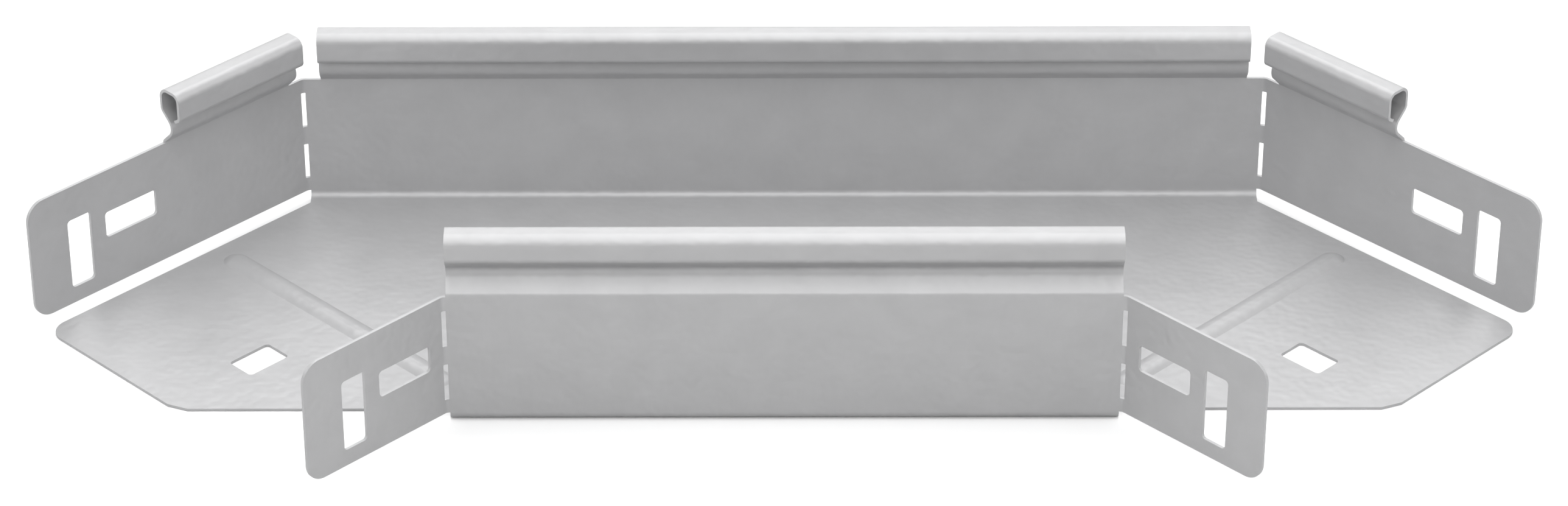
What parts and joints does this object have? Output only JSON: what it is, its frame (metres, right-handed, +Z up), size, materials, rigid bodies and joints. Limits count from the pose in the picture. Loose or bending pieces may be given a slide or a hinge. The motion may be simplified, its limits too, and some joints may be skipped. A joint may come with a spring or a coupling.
{
  "type": "cable tray bend",
  "caption": "Flat 90 degree cable tray bend, folded from one galvanised steel sheet, with rolled side edges, slotted joining wings and pressed floor beads.",
  "frame": {"origin": "middle of the bounding box's base: on the floor's underside, on the mirror plane between the two legs", "axes": "+X along the middle of the bend, across both legs; +Y from the short inner wall to the long outer wall; +Z up, from the floor to the open top"},
  "size_m": [0.366, 0.1332, 0.0506],
  "materials": {
    "galvanised_steel": "satin"
  },
  "bodies": {
    "root": {"tray_bend": "galvanised_steel"}
  },
  "joints": []
}
